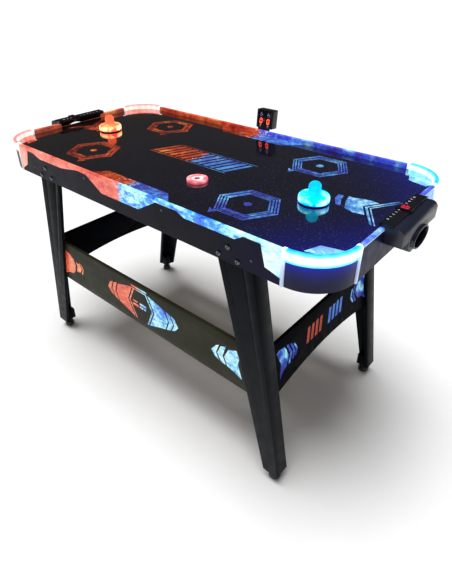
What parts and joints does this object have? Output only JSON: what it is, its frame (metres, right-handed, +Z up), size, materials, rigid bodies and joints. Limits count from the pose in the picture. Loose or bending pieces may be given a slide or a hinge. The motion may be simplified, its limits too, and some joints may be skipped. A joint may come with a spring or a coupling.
{
  "type": "air hockey table",
  "caption": "Free-standing air hockey table on splayed legs with lit corner rails, goal boxes with score bars, an electronic scorer, a blower, pushers and a puck.",
  "frame": {"origin": "on the floor, under the middle of the whole object's box", "axes": "+X along the table towards the blue end, +Y towards the side with the electronic scorer, +Z up"},
  "size_m": [1.483, 0.7312, 0.9177],
  "materials": {
    "field": "high-gloss black laminate on fibreboard",
    "tray": "raw fibreboard",
    "board": "satin black laminate with printed art",
    "leg": "satin black laminate",
    "stretcher": "satin dark laminate with printed art",
    "ice_light": "frosted translucent, lit cyan and blue",
    "fire_light": "frosted translucent, lit pink and red",
    "circuit": "green solder mask",
    "plastic": "fine satin texture",
    "silver": "silver-grey gloss",
    "red": "red gloss",
    "window": "dark red tinted gloss",
    "steel": "zinc plated",
    "foot": "hard black rubber",
    "ice_pusher": "translucent, lit cyan",
    "fire_pusher": "translucent, lit orange",
    "felt": "black felt",
    "puck": "translucent, lit pink-red"
  },
  "bodies": {
    "table": {"playfield": "field", "air_chamber_tray": "tray", "apron_back": "board", "apron_front": "board", "apron_end_ice": "board", "apron_end_fire": "board", "corner_cover_ice_back": "ice_light", "corner_cover_ice_front": "ice_light", "corner_cover_fire_back": "fire_light", "corner_cover_fire_front": "fire_light", "corner_panel_ice_back": "board", "corner_panel_ice_front": "board", "corner_panel_fire_back": "board", "corner_panel_fire_front": "board", "led_strip_ice_back": "circuit", "led_strip_ice_front": "circuit", "led_strip_fire_back": "circuit", "led_strip_fire_front": "circuit", "leg_ice_back": "leg", "leg_ice_front": "leg", "leg_fire_back": "leg", "leg_fire_front": "leg", "leg_bolts_ice_back": "steel", "leg_bolts_ice_front": "steel", "leg_bolts_fire_back": "steel", "leg_bolts_fire_front": "steel", "stretcher_back": "stretcher", "stretcher_front": "stretcher", "stretcher_ice": "stretcher", "stretcher_fire": "stretcher", "goal_hood_ice": "plastic", "goal_hood_fire": "plastic", "score_bar_ice": "plastic", "score_bar_fire": "plastic", "goal_sensor_ice": "circuit", "goal_sensor_fire": "circuit", "scorer_case": "plastic", "scorer_window": "window", "blower_housing": "plastic", "blower_grille": "plastic", "control_box": "plastic", "control_panel": "plastic"},
    "foot_ice_back": {"levelling_foot_ice_back": "foot"},
    "foot_ice_front": {"levelling_foot_ice_front": "foot"},
    "foot_fire_back": {"levelling_foot_fire_back": "foot"},
    "foot_fire_front": {"levelling_foot_fire_front": "foot"},
    "slider_ice": {"score_slider_ice": "red"},
    "slider_fire": {"score_slider_fire": "silver"},
    "pusher_ice": {"pusher_shell_ice": "ice_pusher", "pusher_base_ice": "felt", "pusher_lamp_ice": "circuit"},
    "pusher_fire": {"pusher_shell_fire": "fire_pusher", "pusher_base_fire": "felt", "pusher_lamp_fire": "circuit"},
    "puck": {"puck_ring": "puck", "puck_core": "silver"},
    "impeller": {"blower_impeller": "plastic"},
    "rocker": {"power_rocker": "red"},
    "button_left": {"scorer_button_left": "silver"},
    "button_right": {"scorer_button_right": "silver"}
  },
  "joints": [
    {"name": "foot_turn_ice_back", "type": "hinge", "parent": "table", "child": "foot_ice_back", "pos_m": [0.568, 0.2832, 0.02], "axis": [0, 0, 1], "continuous": true},
    {"name": "foot_turn_ice_front", "type": "hinge", "parent": "table", "child": "foot_ice_front", "pos_m": [0.568, -0.3208, 0.02], "axis": [0, 0, 1], "continuous": true},
    {"name": "foot_turn_fire_back", "type": "hinge", "parent": "table", "child": "foot_fire_back", "pos_m": [-0.568, 0.2832, 0.02], "axis": [0, 0, 1], "continuous": true},
    {"name": "foot_turn_fire_front", "type": "hinge", "parent": "table", "child": "foot_fire_front", "pos_m": [-0.568, -0.3208, 0.02], "axis": [0, 0, 1], "continuous": true},
    {"name": "pusher_ice_slide", "type": "slide", "parent": "table", "child": "pusher_ice", "axis": [1, 0, 0], "range_m": [-0.417, 0.158]},
    {"name": "pusher_fire_slide", "type": "slide", "parent": "table", "child": "pusher_fire", "axis": [1, 0, 0], "range_m": [-0.134, 0.44]},
    {"name": "puck_slide", "type": "slide", "parent": "table", "child": "puck", "axis": [1, 0, 0], "range_m": [-0.766, 0.51]},
    {"name": "score_slide_ice", "type": "slide", "parent": "table", "child": "slider_ice", "axis": [0, 1, 0], "range_m": [-0.08, 0.08]},
    {"name": "score_slide_fire", "type": "slide", "parent": "table", "child": "slider_fire", "axis": [0, 1, 0], "range_m": [-0.048, 0.112]},
    {"name": "blower_spin", "type": "hinge", "parent": "table", "child": "impeller", "pos_m": [0, -0.0188, 0.77], "axis": [0, 0, 1], "continuous": true},
    {"name": "power_switch", "type": "hinge", "parent": "table", "child": "rocker", "pos_m": [0.187, 0.3265, 0.772], "axis": [1, 0, 0], "range_deg": [-16, 0]},
    {"name": "button_left_press", "type": "slide", "parent": "table", "child": "button_left", "axis": [0, 0.9962, -0.0872], "range_m": [0, 0.0015], "stiffness_N_per_m": 400},
    {"name": "button_right_press", "type": "slide", "parent": "table", "child": "button_right", "axis": [0, 0.9962, -0.0872], "range_m": [0, 0.0015], "stiffness_N_per_m": 400}
  ]
}
